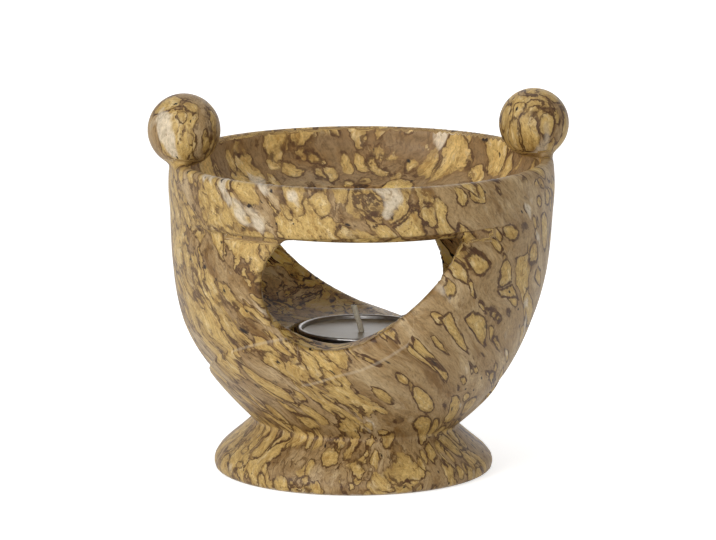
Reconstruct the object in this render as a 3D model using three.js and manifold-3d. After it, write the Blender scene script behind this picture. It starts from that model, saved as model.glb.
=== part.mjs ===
// Stoneware tealight holder: a flared foot, two lapped walls that sweep round each other and leave a
// leaning window at the front and the back, a shallow bowl on top with two balls on its rim, and a
// tealight in a round well. Millimetres, +Z up, front towards -Y, origin under the middle of the foot.
import * as THREE from 'three';
import { mergeVertices } from 'three/addons/utils/BufferGeometryUtils.js';
import Module from 'manifold-3d';

const wasm = await Module();
wasm.setup();

// Foot
const FOOT_RADIUS = 41.1;
const FOOT_EDGE_ROUND = 2.6;
const FOOT_RING_WIDTH = 8;
const FOOT_WALL = 5;
const WAIST_RADIUS = 30;
const WAIST_HEIGHT = 14.6;

// Walls
const BODY_RADIUS = 56.2;
const BODY_SWELL = 2.9;
const BODY_FLARE = 0.1;
const BODY_WALL = 4.6;
const LUTING_GAP = 0.3;
const LAP_STEP = 1.2;
const LAP_FADE = 9;
const CREASE_DEPTH = 1.2;
const CREASE_FALL = 16;
const CREASE_REACH = { left: 30, right: 18 };

// Windows and the lap lines that start in their lower left corners, as (degrees round the body, share of the
// wall's height). The front is counted from the front, the rear from the back, where the opening dips lower
// and its sill falls outwards by a share of its depth.
const LAP_END_ANGLE = -140;
const FRONT = {
  topLeft: [-29.5, 1.04],
  leftBulge: [[-43, 0.856], [-43, 0.503]],
  bottom: [-20, 0.503],
  slope: [[-2, 0.503], [14, 0.728]],
  topRight: [28, 1.04],
  sillFall: 0,
  lapStart: [-27, 0.55],
  lapSweep: [[-55, 0.471], [-80, 0.263]],
};
const REAR = {
  topLeft: [-36, 1.04],
  leftBulge: [[-33, 0.8], [-54, 0.31]],
  bottom: [-26, 0.31],
  slope: [[-4, 0.35], [16, 0.5]],
  topRight: [31, 1.04],
  sillFall: 0.19,
  lapStart: [-33.5, 0.45],
  lapSweep: [[-58, 0.4], [-82, 0.24]],
};

// Bowl and rim band
const BAND_BOTTOM = 77;
const RIM_HEIGHT = 92.8;
const RIM_LIP = 3.4;
const BAND_SWELL = 0.5;
const BOWL_SAG = 1.2;
const BOWL_FLOOR = 3.8;
const BOWL_FLAT_RADIUS = 36;
const BOWL_CORNER_DROP = 10;
const BOWL_CORNER_REACH = 5.8;
const BOWL_WALL_LEAN = 1;
const BOWL_UNDER_RADIUS = 16;
const BOWL_UNDER_CURVE = 44;

// Balls on the rim
const BALL_RADIUS = 10.7;
const BALL_INSET = 3.9;
const BALL_SINK = 1.6;
const BALL_NECK_RISE = 0.7;
const BALL_NECK_LENGTH = 4.5;
const BALL_NECK_SPREAD = 13;

// Candle floor and tealight
const CHAMBER_FLOOR_HEIGHT = 41;
const CHAMBER_FLOOR = 4.5;
const FLOOR_DISH = 11;
const FLOOR_LAND = 0.8;
const FLOOR_GAP = 0.6;
const WELL_CLEARANCE = 2.5;
const WELL_EDGE_ROUND = 1.2;
const TEALIGHT_RADIUS = 19;
const CUP_HEIGHT = 15;
const CUP_PROUD = 1;
const CUP_WALL = 0.4;
const CUP_BEAD = 0.6;
const CUP_CORNER = 1.5;
const WAX_GAP = 0.3;
const WAX_BELOW_RIM = 1.8;
const TAB_RADIUS = 6.2;
const TAB_THICKNESS = 0.4;
const TAB_NECK_HEIGHT = 3;
const TAB_NECK_WALL = 0.5;
const WICK_RADIUS = 0.9;
const WICK_GAP = 0.3;
const WICK_SHOWING = 8;
const WICK_LEAN = 2.4;

// Facets
const BODY_SEGMENTS = 56;
const WALL_ROWS = 14;
const SMALL_SEGMENTS = 40;
const TINY_SEGMENTS = 20;
const CURVE_STEPS = 8;
const ROUND_STEPS = 4;
const BALL_STEPS = 6;
const CUP_STEPS = 2;

const bodyHeight = BAND_BOTTOM - WAIST_HEIGHT;
const ballReach = BODY_RADIUS - BALL_INSET;
const ballHeight = RIM_HEIGHT - BALL_SINK + BALL_RADIUS;
const seatHeight = RIM_HEIGHT + BALL_NECK_RISE;
const ballFlatDrop = ballHeight - seatHeight;
const ballFlatRadius = Math.sqrt(BALL_RADIUS ** 2 - ballFlatDrop ** 2);
const wellRadius = TEALIGHT_RADIUS + WELL_CLEARANCE;
const cupTop = CHAMBER_FLOOR_HEIGHT + CUP_PROUD;
const wellFloorHeight = cupTop - CUP_HEIGHT;
const cupInside = TEALIGHT_RADIUS - 2 * CUP_BEAD;
const cupFloorHeight = wellFloorHeight + CUP_WALL;
const waxTop = cupTop - WAX_BELOW_RIM;

const clay = new THREE.Color(0xa58c6e);
const stoneware = () => new THREE.MeshStandardMaterial({ color: clay, roughness: 0.45, metalness: 0 });
const aluminium = () => new THREE.MeshStandardMaterial({ color: 0xc9cacc, roughness: 0.35, metalness: 1 });
const paraffin = () => new THREE.MeshStandardMaterial({ color: 0xe9e6dc, roughness: 0.4, metalness: 0 });
const tinplate = () => new THREE.MeshStandardMaterial({ color: 0xb9bbbd, roughness: 0.4, metalness: 1 });
const cotton = () => new THREE.MeshStandardMaterial({ color: 0xe6dcc2, roughness: 0.9, metalness: 0 });

// A closed mesh with shared corners and no collapsed triangles.
function welded(geometry) {
  const bare = geometry.clone();
  bare.deleteAttribute('normal');
  bare.deleteAttribute('uv');
  const merged = mergeVertices(bare, 1e-4);
  const kept = [];
  const index = merged.index.array;
  for (let i = 0; i < index.length; i += 3) {
    const [a, b, c] = [index[i], index[i + 1], index[i + 2]];
    if (a !== b && b !== c && c !== a) kept.push(a, b, c);
  }
  merged.setIndex(kept);
  merged.computeVertexNormals();
  return merged;
}

function toSolid(geometry) {
  const mesh = welded(geometry);
  return new wasm.Manifold(new wasm.Mesh({
    numProp: 3,
    vertProperties: new Float32Array(mesh.attributes.position.array),
    triVerts: new Uint32Array(mesh.index.array),
  }));
}

function toGeometry(solid) {
  const mesh = solid.getMesh();
  const geometry = new THREE.BufferGeometry();
  geometry.setAttribute('position', new THREE.BufferAttribute(mesh.vertProperties, 3));
  geometry.setIndex([...mesh.triVerts]);
  geometry.computeVertexNormals();
  return geometry;
}

function revolve(profile, segments) {
  return new THREE.LatheGeometry(profile, segments).rotateX(Math.PI / 2);
}

function piece(name, geometry, material) {
  const mesh = new THREE.Mesh(geometry, material);
  mesh.name = name;
  return mesh;
}

const point = (r, z) => new THREE.Vector2(r, z);
const { clamp, degToRad, inverseLerp, lerp, mapLinear, radToDeg, smoothstep } = THREE.MathUtils;
const wallPoint = ([angle, share]) => point(angle, WAIST_HEIGHT + share * bodyHeight);

// The body's outer radius at a height, and how far its wall reaches inwards there.
function bodyRadius(z) {
  const t = clamp((z - WAIST_HEIGHT) / bodyHeight, 0, 1);
  const swell = (1 - BODY_FLARE) * (1 - (1 - t) ** BODY_SWELL) + BODY_FLARE * t;
  return WAIST_RADIUS + (BODY_RADIUS - WAIST_RADIUS) * swell;
}

function insideRadius(z) {
  const rise = 0.5;
  const slope = (bodyRadius(z + rise) - bodyRadius(z)) / rise;
  return bodyRadius(z) - BODY_WALL * Math.sqrt(1 + slope ** 2);
}

// Foot: a flared ring, hollow underneath, with a rounded edge and a sharp waist.
function footGeometry() {
  const throat = insideRadius(WAIST_HEIGHT);
  const flatEdge = FOOT_RADIUS - FOOT_EDGE_ROUND;
  const outline = new THREE.Path();
  outline.moveTo(flatEdge - FOOT_RING_WIDTH, 0);
  outline.lineTo(flatEdge, 0);
  outline.absarc(flatEdge, FOOT_EDGE_ROUND, FOOT_EDGE_ROUND, -Math.PI / 2, 0);
  outline.bezierCurveTo(
    FOOT_RADIUS, WAIST_HEIGHT * 0.38,
    WAIST_RADIUS + FOOT_WALL, WAIST_HEIGHT * 0.65,
    WAIST_RADIUS, WAIST_HEIGHT,
  );
  outline.lineTo(throat, WAIST_HEIGHT);
  outline.quadraticCurveTo(throat, WAIST_HEIGHT / 2, flatEdge - FOOT_RING_WIDTH, 0);
  return welded(revolve(outline.getPoints(ROUND_STEPS), BODY_SEGMENTS));
}

// Lap line: from a window's lower left corner it falls round the body to the waist.
function lapPoints(side) {
  const curve = new THREE.CubicBezierCurve(
    wallPoint(side.lapStart),
    wallPoint(side.lapSweep[0]),
    wallPoint(side.lapSweep[1]),
    point(LAP_END_ANGLE, WAIST_HEIGHT),
  );
  return curve.getPoints(2 * CURVE_STEPS).reverse();
}

// A lap's step at an angle and height: it grows from the lap's tail to its start and fades off the line.
function lapStep(side, angle, z) {
  const line = lapPoints(side);
  const next = line.findIndex((p) => p.x >= angle);
  if (next < 1) return 0;
  const [a, b] = [line[next - 1], line[next]];
  const height = mapLinear(angle, a.x, b.x, a.y, b.y);
  const along = Math.sqrt(inverseLerp(LAP_END_ANGLE, side.lapStart[0], angle));
  return (LAP_STEP / 2) * along * Math.exp(-Math.abs(z - height) / LAP_FADE);
}

// How far a wall's outside stands proud of the plain body at an angle and height: raised along its own lap,
// drawn in under the other wall's lap, and drawn in beneath the rim band beside the windows.
function wallRelief(own, other, angle, z) {
  const turned = angle > own.lapStart[0] + 180 ? angle - 360 : angle;
  const rightOfWindow = (turned - own.topRight[0]) / CREASE_REACH.right;
  const leftOfOtherWindow = (180 + other.topLeft[0] - turned) / CREASE_REACH.left;
  const beside = clamp(1 - Math.min(Math.abs(rightOfWindow), Math.abs(leftOfOtherWindow)), 0, 1);
  const below = clamp(1 - (BAND_BOTTOM - z) / CREASE_FALL, 0, 1);
  return lapStep(own, turned, z) - lapStep(other, turned - 180, z) - CREASE_DEPTH * beside * below ** 2;
}

// Both walls as one plain shell of revolution, with one wall's relief on its outside.
function shellSolid(own, other) {
  const outside = [];
  const inside = [];
  for (let row = 0; row <= WALL_ROWS; row += 1) {
    const z = lerp(WAIST_HEIGHT, BAND_BOTTOM, row / WALL_ROWS);
    outside.push(point(bodyRadius(z), z));
    inside.unshift(point(insideRadius(z), z));
  }
  const profile = [...outside, ...inside, outside[0]];
  const geometry = revolve(profile, BODY_SEGMENTS);
  const position = geometry.attributes.position;
  for (let i = 0; i < position.count; i += 1) {
    const row = i % profile.length;
    const isOutside = row < outside.length || row === profile.length - 1;
    if (!isOutside) continue;
    const angle = radToDeg(Math.atan2(position.getX(i), -position.getY(i)));
    const z = position.getZ(i);
    const grow = 1 + wallRelief(own, other, angle, z) / bodyRadius(z);
    position.setX(i, position.getX(i) * grow);
    position.setY(i, position.getY(i) * grow);
  }
  return toSolid(geometry);
}

// A window as a block that is bent round the body's axis and reaches through the wall.
function windowSolid(side) {
  const headroom = BODY_WALL;
  const [topLeft, topRight, bottom] = [side.topLeft, side.topRight, side.bottom].map(wallPoint);
  const [bulgeA, bulgeB] = side.leftBulge.map(wallPoint);
  const [slopeA, slopeB] = side.slope.map(wallPoint);
  const outline = new THREE.Shape();
  outline.moveTo(topLeft.x, topLeft.y + headroom);
  outline.lineTo(topLeft.x, topLeft.y);
  outline.bezierCurveTo(bulgeA.x, bulgeA.y, bulgeB.x, bulgeB.y, bottom.x, bottom.y);
  outline.bezierCurveTo(slopeA.x, slopeA.y, slopeB.x, slopeB.y, topRight.x, topRight.y);
  outline.lineTo(topRight.x, topRight.y + headroom);
  outline.closePath();
  const options = { depth: 1, bevelEnabled: false, curveSegments: 2 * CURVE_STEPS };
  const block = new THREE.ExtrudeGeometry(outline, options);
  const [near, far] = [WAIST_RADIUS / 2, BODY_RADIUS * 1.5];
  const position = block.attributes.position;
  for (let i = 0; i < position.count; i += 1) {
    const angle = degToRad(position.getX(i));
    const r = lerp(near, far, position.getZ(i));
    const z = position.getY(i) + side.sillFall * (BODY_RADIUS - r);
    position.setXYZ(i, r * Math.sin(angle), -r * Math.cos(angle), z);
  }
  return toSolid(block);
}

// A wall's share of the shell: below its own lap line and above the other wall's.
function shareSolid(own, other) {
  const halfGap = LUTING_GAP / 2;
  const floor = WAIST_HEIGHT - BODY_WALL;
  const ceiling = BAND_BOTTOM + BODY_WALL;
  const stepAngle = 6;
  const hair = 0.2;
  const stations = lapPoints(own).map((p) => [p.x, floor, p.y - halfGap]);
  for (let angle = own.lapStart[0] + hair; angle < LAP_END_ANGLE + 180; angle += stepAngle) {
    stations.push([angle, floor, ceiling]);
  }
  for (const p of lapPoints(other)) stations.push([p.x + 180, p.y + halfGap, ceiling]);
  const [near, far] = [WAIST_RADIUS / 2, BODY_RADIUS * 1.5];
  const corners = stations.flatMap(([angle, low, high]) => {
    const [s, c] = [Math.sin(degToRad(angle)), -Math.cos(degToRad(angle))];
    return [near * s, near * c, low, far * s, far * c, low, far * s, far * c, high, near * s, near * c, high];
  });
  const faces = [0, 1, 2, 0, 2, 3];
  for (let i = 0; i < stations.length - 1; i += 1) {
    for (let side = 0; side < 4; side += 1) {
      const [a, b] = [4 * i + side, 4 * i + ((side + 1) % 4)];
      faces.push(a, a + 4, b, b, a + 4, b + 4);
    }
  }
  const last = 4 * (stations.length - 1);
  faces.push(last, last + 2, last + 1, last, last + 3, last + 2);
  const geometry = new THREE.BufferGeometry();
  geometry.setAttribute('position', new THREE.Float32BufferAttribute(corners, 3));
  geometry.setIndex(faces);
  return toSolid(geometry);
}

// One wall, drawn with its own window at the front.
function wallGeometry(own, other) {
  const share = shellSolid(own, other).intersect(shareSolid(own, other));
  const otherWindow = windowSolid(other).rotate([0, 0, 180]);
  return toGeometry(share.subtract(windowSolid(own)).subtract(otherWindow));
}

// Bowl: rim band and shallow dish in one, with a rise in the rim and a small neck under each ball.
function bowlGeometry() {
  const floor = BAND_BOTTOM - BOWL_SAG;
  const under = floor - BOWL_FLOOR;
  const lip = RIM_LIP / 2;
  const lipCentre = BODY_RADIUS - lip;
  const bandInside = BODY_RADIUS - BODY_WALL;
  const inside = BODY_RADIUS - RIM_LIP;
  const outline = new THREE.Path();
  outline.moveTo(0, under);
  outline.lineTo(BOWL_UNDER_RADIUS, under);
  outline.quadraticCurveTo(BOWL_UNDER_CURVE, under, bandInside, BAND_BOTTOM);
  outline.lineTo(BODY_RADIUS, BAND_BOTTOM);
  const bandMiddle = (BAND_BOTTOM + RIM_HEIGHT) / 2;
  outline.quadraticCurveTo(BODY_RADIUS + 2 * BAND_SWELL, bandMiddle, BODY_RADIUS, RIM_HEIGHT - lip);
  outline.absarc(lipCentre, RIM_HEIGHT - lip, lip, 0, Math.PI);
  outline.bezierCurveTo(
    inside - BOWL_WALL_LEAN, RIM_HEIGHT - lip - BOWL_CORNER_DROP,
    inside - BOWL_CORNER_REACH, floor,
    BOWL_FLAT_RADIUS, floor,
  );
  outline.lineTo(0, floor);
  const geometry = revolve(outline.getPoints(ROUND_STEPS), BODY_SEGMENTS);
  const position = geometry.attributes.position;
  for (let i = 0; i < position.count; i += 1) {
    const offAxis = position.getY(i) / BALL_NECK_SPREAD;
    const upTheBand = smoothstep(position.getZ(i), RIM_HEIGHT - BALL_NECK_LENGTH, RIM_HEIGHT);
    position.setZ(i, position.getZ(i) + BALL_NECK_RISE * upTheBand * Math.exp(-(offAxis ** 2)));
  }
  let solid = toSolid(geometry);
  for (const side of [-1, 1]) {
    const neck = new THREE.CylinderGeometry(ballFlatRadius, lip, BALL_NECK_LENGTH, SMALL_SEGMENTS / 2);
    neck.rotateX(Math.PI / 2);
    neck.translate(side * ballReach, 0, seatHeight - BALL_NECK_LENGTH / 2);
    const trim = new THREE.BoxGeometry(4 * BALL_RADIUS, 4 * BALL_RADIUS, BALL_RADIUS);
    trim.translate(side * ballReach, 0, seatHeight + BALL_RADIUS / 2);
    solid = solid.add(toSolid(neck)).subtract(toSolid(trim));
  }
  return toGeometry(solid);
}

// Ball: a sphere with a small flat that stands on the neck.
function ballGeometry() {
  const outline = new THREE.Path();
  const start = Math.asin(-ballFlatDrop / BALL_RADIUS);
  outline.moveTo(0, -ballFlatDrop);
  outline.lineTo(ballFlatRadius, -ballFlatDrop);
  outline.absarc(0, 0, BALL_RADIUS, start, Math.PI / 2);
  return welded(revolve(outline.getPoints(BALL_STEPS), SMALL_SEGMENTS / 2));
}

// Candle floor: a dish whose tapered edge wedges into the walls, cut through by both windows, with the
// tealight's well in its middle.
function candleFloorGeometry() {
  const underside = CHAMBER_FLOOR_HEIGHT - CHAMBER_FLOOR;
  const edgeTop = CHAMBER_FLOOR_HEIGHT + FLOOR_DISH;
  const wellOutside = wellRadius + CHAMBER_FLOOR;
  const edgeAt = (share) => {
    const z = lerp(underside, edgeTop, share);
    return point(insideRadius(z) - FLOOR_GAP, z);
  };
  const outline = new THREE.Path();
  outline.moveTo(0, wellFloorHeight - CHAMBER_FLOOR);
  outline.lineTo(wellOutside, wellFloorHeight - CHAMBER_FLOOR);
  outline.lineTo(wellOutside, underside);
  for (let step = 0; step <= CUP_STEPS; step += 1) {
    const { x, y } = edgeAt(step / CUP_STEPS);
    outline.lineTo(x, y);
  }
  const inner = edgeAt(1).x - FLOOR_LAND;
  outline.lineTo(inner, edgeTop);
  outline.quadraticCurveTo(
    inner - FLOOR_DISH / 2, CHAMBER_FLOOR_HEIGHT, wellRadius + WELL_EDGE_ROUND, CHAMBER_FLOOR_HEIGHT,
  );
  outline.quadraticCurveTo(
    wellRadius, CHAMBER_FLOOR_HEIGHT, wellRadius, CHAMBER_FLOOR_HEIGHT - WELL_EDGE_ROUND,
  );
  outline.lineTo(wellRadius, wellFloorHeight);
  outline.lineTo(0, wellFloorHeight);
  const dish = toSolid(revolve(outline.getPoints(ROUND_STEPS), BODY_SEGMENTS));
  const rearWindow = windowSolid(REAR).rotate([0, 0, 180]);
  return toGeometry(dish.subtract(windowSolid(FRONT)).subtract(rearWindow));
}

// Tealight cup: thin pressed metal with a rolled bead round its mouth.
function cupGeometry() {
  const outsideWall = cupInside + CUP_WALL;
  const beadCentre = TEALIGHT_RADIUS - CUP_BEAD;
  const beadHeight = cupTop - CUP_BEAD;
  const beadStart = Math.acos((outsideWall - beadCentre) / CUP_BEAD);
  const outline = new THREE.Path();
  outline.moveTo(0, wellFloorHeight);
  outline.lineTo(outsideWall - CUP_CORNER, wellFloorHeight);
  outline.absarc(outsideWall - CUP_CORNER, wellFloorHeight + CUP_CORNER, CUP_CORNER, -Math.PI / 2, 0);
  outline.absarc(beadCentre, beadHeight, CUP_BEAD, -beadStart, Math.PI);
  outline.lineTo(cupInside, cupFloorHeight + CUP_CORNER);
  outline.quadraticCurveTo(cupInside, cupFloorHeight, cupInside - CUP_CORNER, cupFloorHeight);
  outline.lineTo(0, cupFloorHeight);
  return welded(revolve(outline.getPoints(CUP_STEPS), SMALL_SEGMENTS));
}

// Wax: a plug that fills the cup, with room underneath for the wick's metal tab and a bore for the wick.
function waxGeometry() {
  const outside = cupInside - WAX_GAP;
  const neckBore = WICK_RADIUS + WICK_GAP + TAB_NECK_WALL + WAX_GAP;
  const tabTop = cupFloorHeight + TAB_THICKNESS + WAX_GAP;
  const neckTop = cupFloorHeight + TAB_THICKNESS + TAB_NECK_HEIGHT + WAX_GAP;
  const profile = [
    point(TAB_RADIUS + WAX_GAP, cupFloorHeight),
    point(outside - CUP_CORNER, cupFloorHeight),
    point(outside, cupFloorHeight + CUP_CORNER),
    point(outside, waxTop),
    point(WICK_RADIUS + WICK_GAP, waxTop),
    point(WICK_RADIUS + WICK_GAP, neckTop),
    point(neckBore, neckTop),
    point(neckBore, tabTop),
    point(TAB_RADIUS + WAX_GAP, tabTop),
    point(TAB_RADIUS + WAX_GAP, cupFloorHeight),
  ];
  return welded(revolve(profile, SMALL_SEGMENTS));
}

// Wick tab: a small tin disc with a crimped neck that holds the wick upright.
function wickTabGeometry() {
  const neckInside = WICK_RADIUS + WICK_GAP;
  const discTop = cupFloorHeight + TAB_THICKNESS;
  const profile = [
    point(0, cupFloorHeight),
    point(TAB_RADIUS, cupFloorHeight),
    point(TAB_RADIUS, discTop),
    point(neckInside + TAB_NECK_WALL, discTop),
    point(neckInside + TAB_NECK_WALL, discTop + TAB_NECK_HEIGHT),
    point(neckInside, discTop + TAB_NECK_HEIGHT),
    point(neckInside, discTop),
    point(0, discTop),
  ];
  return welded(revolve(profile, TINY_SEGMENTS));
}

// Wick: a cotton cord from the tab up through the wax, leaning a little to the left above it.
function wickGeometry() {
  const bottom = cupFloorHeight + TAB_THICKNESS;
  const path = new THREE.CatmullRomCurve3([
    new THREE.Vector3(0, 0, bottom),
    new THREE.Vector3(0, 0, (bottom + waxTop) / 2),
    new THREE.Vector3(0, 0, waxTop),
    new THREE.Vector3(-WICK_LEAN / 4, 0, waxTop + WICK_SHOWING / 2),
    new THREE.Vector3(-WICK_LEAN, 0, waxTop + WICK_SHOWING),
  ]);
  const section = new THREE.Shape();
  section.absarc(0, 0, WICK_RADIUS, 0, 2 * Math.PI);
  const options = {
    steps: 2 * CURVE_STEPS, curveSegments: CURVE_STEPS / 2, bevelEnabled: false, extrudePath: path,
  };
  return welded(new THREE.ExtrudeGeometry(section, options));
}

const leftWall = piece('left_wall', wallGeometry(REAR, FRONT), stoneware());
leftWall.rotation.z = Math.PI;

const leftBall = piece('left_ball', ballGeometry(), stoneware());
leftBall.position.set(-ballReach, 0, ballHeight);
const rightBall = piece('right_ball', ballGeometry(), stoneware());
rightBall.position.set(ballReach, 0, ballHeight);

const holder = new THREE.Group();
holder.add(
  piece('pedestal_foot', footGeometry(), stoneware()),
  piece('candle_floor', candleFloorGeometry(), stoneware()),
  piece('right_wall', wallGeometry(FRONT, REAR), stoneware()),
  leftWall,
  piece('burner_bowl', bowlGeometry(), stoneware()),
  leftBall,
  rightBall,
);

const candle = new THREE.Group();
candle.add(
  piece('wick_tab', wickTabGeometry(), tinplate()),
  piece('candle_wax', waxGeometry(), paraffin()),
  piece('wick', wickGeometry(), cotton()),
);

const tealight = new THREE.Group();
tealight.add(piece('tealight_cup', cupGeometry(), aluminium()), candle);

const assembly = new THREE.Group();
assembly.add(holder, tealight);

export default assembly;
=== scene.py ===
import math

import bpy
import numpy as np
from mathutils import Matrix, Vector


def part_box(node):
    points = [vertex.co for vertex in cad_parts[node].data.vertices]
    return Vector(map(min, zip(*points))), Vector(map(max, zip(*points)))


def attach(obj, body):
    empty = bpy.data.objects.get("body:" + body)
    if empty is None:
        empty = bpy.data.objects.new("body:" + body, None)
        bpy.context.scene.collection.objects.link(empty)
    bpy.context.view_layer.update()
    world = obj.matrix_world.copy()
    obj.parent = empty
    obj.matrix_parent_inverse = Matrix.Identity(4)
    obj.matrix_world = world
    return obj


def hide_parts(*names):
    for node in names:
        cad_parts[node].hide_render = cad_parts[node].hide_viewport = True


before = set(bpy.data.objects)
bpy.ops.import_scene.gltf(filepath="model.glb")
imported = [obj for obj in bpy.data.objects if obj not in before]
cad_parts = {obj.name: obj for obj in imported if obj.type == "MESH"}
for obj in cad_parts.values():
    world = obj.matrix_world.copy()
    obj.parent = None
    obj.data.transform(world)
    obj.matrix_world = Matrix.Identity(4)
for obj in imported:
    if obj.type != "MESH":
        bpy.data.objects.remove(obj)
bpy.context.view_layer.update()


# Stoneware body: foot, candle floor, two lapped walls, bowl and balls, luted together and fired as one.
# Its form is written as a distance field in millimetres, because every edge of the clay is rounded over
# and every joint is smoothed with slip, and the surface is then drawn through the field.
MM = 0.001


def mm(node):
    """A node's lowest and highest corners in millimetres."""
    low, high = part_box(node)
    return np.array(low) / MM, np.array(high) / MM


cup_low, cup_high = mm("tealight_cup")
ball_low, ball_high = mm("right_ball")

foot_heights = [-3.0, 0.0, 0.7, 1.6, 2.8, 4.1, 6.2, 8.3, 10.6, 13.2, 14.8, 18.0]
foot_radii = [38.9, 40.2, 40.8, 41.1, 41.1, 40.7, 39.2, 36.9, 34.2, 31.3, 29.9, 27.0]
foot_steepness = 0.72
waist_radius, waist_height, waist_overlap = 30.0, 14.6, 3
band_bottom, band_swell, rim_height = 77.0, 0.5, 92.8
body_radius, body_swell, body_flare = 56.2, 2.9, 0.1
wall_thick, rim_lip = 4.6, 3.4
bowl_inside = body_radius - rim_lip
bowl_floor_height = 75.8
bowl_wall_curve = [(34.0, bowl_floor_height), (44.5, bowl_floor_height), (51.3, 80.8), (52.8, 91.1)]
bowl_under_curve = [(16.0, 72.5), (34.0, 72.5), (46.0, 74.3), (51.6, 77.4)]
bowl_steepness = 0.35
well_radius, well_floor_height = 21.5, cup_low[2]
dish_height, dish_rise, dish_radius, dish_curve = 41.0, 12.0, 48.0, 2.2
well_thick, well_overlap, floor_plate = 4.5, 5, 8.0
throat_radius, throat_flare, throat_height, throat_steepness = 22.0, 8.0, 6, 0.85
ball_radius = (ball_high[1] - ball_low[1]) / 2
ball_reach = ball_high[0] - ball_radius
ball_height = ball_high[2] - ball_radius
offset_heights = [0, 8, 15, 22, 30, 45, 60, 77]
offsets = [-2.4, -2.4, -1.9, -1.5, -1.2, -1.2, -0.4, 0.0]
waist_tilt_left, waist_tilt_right = 0.02, 0.05
right_ball_shift, right_ball_shrink = 1.1, 0.35
left_ball = np.array([-ball_reach, 0.0, ball_height])
right_ball = np.array([ball_reach - right_ball_shift, 0.0, ball_height - right_ball_shrink])

# Roundings of the clay where two faces meet.
joint_round, edge_round, rim_round = 0.5, 0.6, 2.0
chamber_round, well_round, well_lip_round = 4.0, 0.8, 1.0
bowl_wall_round, bowl_lip_round = 1.0, 1.8
hollow_round, throat_round, hollow_edge_round = 2.0, 1.0, 1.2
window_head_round, window_round, ball_fillet = 1.2, 1.1, 2.2

# Each side's window and lap, as (degrees from its own side, height): the outline runs from the top left
# corner down round the bulge and up the slope, and the rear opening dips lower with a sill that falls.
front = {
    "window": [
        [(-33.2, 77.0), (-46.5, 68.0), (-46.5, 44.3), (-20.0, 44.3)],
        [(-20.0, 44.3), (-0.9, 44.3), (15.5, 62.8), (30.3, 77.0)],
    ],
    "lap": [(-27.0, 48.4), (-55.0, 44.0), (-80.0, 31.0), (-140.0, 14.6)],
    "fall": 0.0,
}
rear = {
    "window": [
        [(-27.0, 77.0), (-20.6, 64.5), (-64.5, 34.0), (-26.0, 34.0)],
        [(-26.0, 34.0), (3.2, 41.4), (14.1, 41.4), (33.0, 77.0)],
    ],
    "lap": [(-33.5, 42.7), (-58.0, 39.6), (-82.0, 29.6), (-140.0, 14.6)],
    "fall": 0.19,
}
unroll_radius = 52.0
window_middle, window_span, window_low, window_high = -6, 75, 24, 84
lap_proud, lap_sunk, lap_sharpness = 0.55, 1.25, 0.45
lap_fade_below, lap_fade_above = 9, 7
lap_grows_until, lap_ends_from, lap_ends_at = -55, -3, 12
lift_angles = [-45, -26, -14, 0, 14, 40, 80]
lifts = [0.0, 0.4, 1.0, 1.4, 1.5, 1.8, 0.0]
bevel_depth, band_draw, sill_bevel, bevel_width = 2.0, 3.0, 0.8, 7.5
bevel_left_of_band, bevel_right_of_band, bevel_at_sill = 22, 6, 5


def bezier(controls, steps):
    """Points along a cubic curve."""
    a, b, c, d = np.array(controls)
    t = np.linspace(0, 1, steps)[:, None]
    return a * (1 - t) ** 3 + 3 * b * t * (1 - t) ** 2 + 3 * c * t ** 2 * (1 - t) + d * t ** 3


for side in (front, rear):
    bulge, slope = (bezier(curve, 22) for curve in side["window"])
    side["outline"] = np.vstack([bulge[:-1], slope])
    side["line"] = bezier(side["lap"], 40)[::-1]
bowl_wall = np.vstack([bezier(bowl_wall_curve, 30), [(bowl_inside + 3, 120.0)]])
bowl_under = np.vstack([bezier(bowl_under_curve, 20), [(bowl_inside + 6, 82.0)]])


def soft_max(a, b, width):
    """The larger of two fields, rounded over where they meet."""
    near = np.maximum(width - np.abs(a - b), 0) / width
    return np.maximum(a, b) + near ** 2 * width / 4


def soft_min(a, b, width):
    """The smaller of two fields, with a fillet where they meet."""
    return -soft_max(-a, -b, width)


def ease(x, low, high):
    """0 below a range and 1 above it, with a smooth passage between."""
    t = np.clip((x - low) / (high - low), 0, 1)
    return t * t * (3 - 2 * t)


def off_centre(z):
    """How far the outside leans off the axis: the foot was set a little to the left."""
    return np.interp(z, offset_heights, offsets)


def tilted(x, z):
    """Height along the body's profile: the waist runs down a little to the right."""
    tilt = np.where(x > 0, waist_tilt_right, waist_tilt_left) * x
    return z + tilt * np.where(z < waist_height, z / waist_height, 1 - ease(z, waist_height, 45))


def body_profile(z):
    """Outer radius of the walls at a height, and its slope."""
    t = np.clip((z - waist_height) / (band_bottom - waist_height), 0, 1)
    reach = body_radius - waist_radius
    radius = waist_radius + reach * ((1 - body_flare) * (1 - (1 - t) ** body_swell) + body_flare * t)
    slope = reach * ((1 - body_flare) * body_swell * (1 - t) ** (body_swell - 1) + body_flare)
    return radius, slope / (band_bottom - waist_height)


def lap_relief(side, angle, z):
    """A lap on the outside of the wall: proud below its line, drawn in above it, fading to its tail."""
    line = side["line"]
    above = z - np.interp(angle, line[:, 0], line[:, 1])
    tail, start = line[0, 0], line[-1, 0]
    along = ease(angle, tail, start + lap_grows_until)
    along = along * (1 - ease(angle, start + lap_ends_from, start + lap_ends_at))
    step = (1 - np.tanh(above / lap_sharpness)) / 2
    proud = step * lap_proud * np.exp(above / lap_fade_below)
    return along * (proud - (1 - step) * lap_sunk * np.exp(-above / lap_fade_above))


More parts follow.
